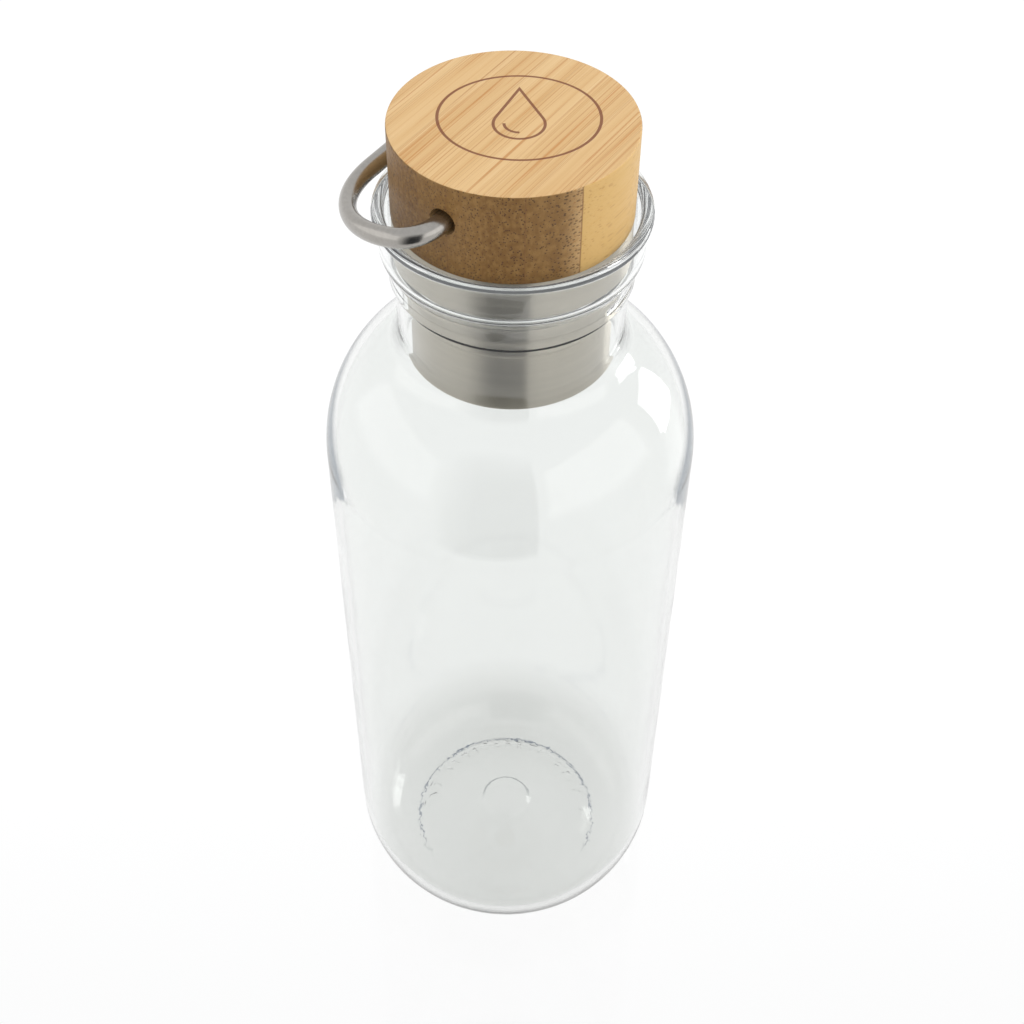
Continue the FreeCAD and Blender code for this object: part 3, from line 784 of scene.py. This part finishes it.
def make_floor():
    """A white table that glows like a light table, a little dimmer in front of the bottle than behind it,
    with a faint gloss.
    """
    floor = plain_sheet("floor", 8.0, 8.0)
    floor.location = (0, 0, -0.0003)
    n = Nodes("floor_white")
    glow = n.tree.nodes.new("ShaderNodeEmission")
    n.set(glow.inputs["Color"], (1.0, 1.0, 1.0, 1.0))
    x, y, _ = n.split("Object")
    away = n.math("MULTIPLY_ADD", x, -FRONT_SIN, n.math("MULTIPLY", y, FRONT_COS))
    n.set(glow.inputs["Strength"], n.ramp(away, -0.10, 0.10, 0.985, 1.06))
    gloss = n.tree.nodes.new("ShaderNodeBsdfGlossy")
    n.set(gloss.inputs["Roughness"], 0.10)
    n.blend_shaders(FLOOR_GLOSS, glow, gloss)
    floor.data.materials.append(n.material)


def round_about(azimuth, distance, height):
    """A place by its compass angle from the front, counted towards the right."""
    t = math.radians(azimuth)
    return (distance * math.sin(t), -distance * math.cos(t), height)


def soft_box(name, place, target, size, radiance, glossy=True):
    """A plain rectangular lamp that the camera doesn't see."""
    light = bpy.data.lights.new(name, "AREA")
    light.shape = "RECTANGLE"
    light.size, light.size_y = size
    light.energy = radiance * math.pi * size[0] * size[1]
    obj = bpy.data.objects.new(name, light)
    bpy.context.collection.objects.link(obj)
    obj.location = place
    way = Vector(target) - Vector(place)
    obj.rotation_euler = way.to_track_quat("-Z", "Y").to_euler()
    obj.visible_camera = False
    obj.visible_glossy = glossy
    obj.visible_transmission = glossy
    return obj


def glow_panel(name, azimuth, distance, height, size, radiance, edge=0.25):
    """An upright softbox facing the bottle, fading over its edges and just above the floor."""
    panel = plain_sheet(name, *size)
    panel.rotation_euler = (math.radians(90), 0, math.radians(azimuth))
    panel.location = round_about(azimuth, distance, height)
    n = Nodes(name)
    x, y, _ = n.split("Object")
    level = 1.0
    for value, half in ((x, size[0] / 2), (y, size[1] / 2)):
        off = n.math("ABSOLUTE", value)
        level = n.math("MULTIPLY", n.ramp(off, half * (1 - edge), half, 1.0, 0.0), level)
    level = n.math("MULTIPLY", n.ramp(y, -height, 0.16 - height), level)
    glow = n.tree.nodes.new("ShaderNodeEmission")
    n.set(glow.inputs["Strength"], radiance)
    clear = n.tree.nodes.new("ShaderNodeBsdfTransparent")
    n.blend_shaders(level, clear, glow)
    panel.data.materials.append(n.material)
    panel.visible_camera = False
    panel.visible_shadow = False


def dark_card(name, azimuth, distance, width, height):
    """A black card with soft edges, standing on the table.

    Only rays that have already been mirrored meet it, so it isn't seen straight through the glass."""
    card = plain_sheet(name, width, height)
    card.rotation_euler = (math.radians(90), 0, math.radians(azimuth))
    card.location = round_about(azimuth, distance, height / 2)
    n = Nodes(name)
    x, y, _ = n.split("Object")
    right = n.ramp(x, width * 0.44, width * 0.5, 1.0, 0.0)
    left = n.ramp(x, -width * 0.5, -width * 0.02)
    shade = n.tree.nodes.new("ShaderNodeBsdfDiffuse")
    n.set(shade.inputs["Color"], (0.02, 0.022, 0.025, 1.0))
    clear = n.tree.nodes.new("ShaderNodeBsdfTransparent")
    top = n.ramp(y, height * 0.5, height * 0.08)
    path = n.tree.nodes.new("ShaderNodeLightPath")
    mirrored = n.math("GREATER_THAN", path.outputs["Glossy Depth"], 0.5)
    faded = n.math("MULTIPLY", n.math("MULTIPLY", left, right), top)
    n.blend_shaders(n.math("MULTIPLY", faded, mirrored), clear, shade)
    card.data.materials.append(n.material)
    card.visible_camera = False
    card.visible_diffuse = False
    card.visible_shadow = False


def make_world():
    """Pale all round, and a touch cooler overhead."""
    world = bpy.data.worlds.new("studio")
    world.use_nodes = True
    tree = world.node_tree
    coords = tree.nodes.new("ShaderNodeTexCoord")
    split = tree.nodes.new("ShaderNodeSeparateXYZ")
    ramp = tree.nodes.new("ShaderNodeValToRGB")
    tree.links.new(coords.outputs["Generated"], split.inputs[0])
    tree.links.new(split.outputs[2], ramp.inputs[0])
    ramp.color_ramp.interpolation = "EASE"
    ramp.color_ramp.elements[0].position = 0.30
    ramp.color_ramp.elements[0].color = (0.95, 0.95, 0.95, 1.0)
    ramp.color_ramp.elements[1].position = 0.70
    ramp.color_ramp.elements[1].color = (0.92, 0.93, 0.95, 1.0)
    tree.links.new(ramp.outputs[0], tree.nodes["Background"].inputs["Color"])
    bpy.context.scene.world = world


def make_camera():
    """The photograph's view: 32 degrees round from the front, looking 48 degrees down."""
    azimuth, pitch = math.radians(FRONT), math.radians(47.68)
    yaw, roll = math.radians(0.15), math.radians(-0.78)
    distance, height = 0.2246, 0.3648
    ahead = Vector((math.sin(yaw) * math.cos(pitch), math.cos(yaw) * math.cos(pitch), -math.sin(pitch)))
    right = Vector((math.cos(yaw), -math.sin(yaw), 0))
    down = ahead.cross(right)
    across = right * math.cos(roll) + down * math.sin(roll)
    below = down * math.cos(roll) - right * math.sin(roll)
    turn = Matrix.Rotation(azimuth, 3, "Z")
    columns = [turn @ across, turn @ -below, turn @ -ahead]
    place = turn @ Vector((0, -distance, height))
    matrix = Matrix([[columns[j][i] for j in range(3)] + [place[i]] for i in range(3)] + [[0, 0, 0, 1]])
    camera = bpy.data.cameras.new("camera")
    camera.sensor_width = 36.0
    camera.lens = 1586.7 * 36.0 / 1024
    camera.clip_start = 0.01
    obj = bpy.data.objects.new("camera", camera)
    bpy.context.collection.objects.link(obj)
    obj.matrix_world = matrix
    bpy.context.scene.camera = obj


make_bottle()
make_cap()
make_band()
make_shell()
make_bail()
make_gasket()
dress_hidden()
make_floor()
make_world()
dark_card("front_card", FRONT - 14, 0.23, 0.272, 0.42)
glow_panel("right_panel", FRONT + 56, 0.8, 0.25, (1.25, 1.05), 1.5)
glow_panel("left_panel", FRONT - 80, 0.8, 0.22, (1.25, 0.95), 1.4)
soft_box("rear_window", round_about(FRONT + 114.5, 0.9, 0.225), (0, 0, 0.18), (0.33, 0.44), 4.5)
soft_box("top_panel", (0.0, 0.0, 1.1), (0, 0, 0.1), (0.9, 0.9), 1.35, glossy=False)
make_camera()
bpy.context.scene.view_settings.view_transform = "Standard"
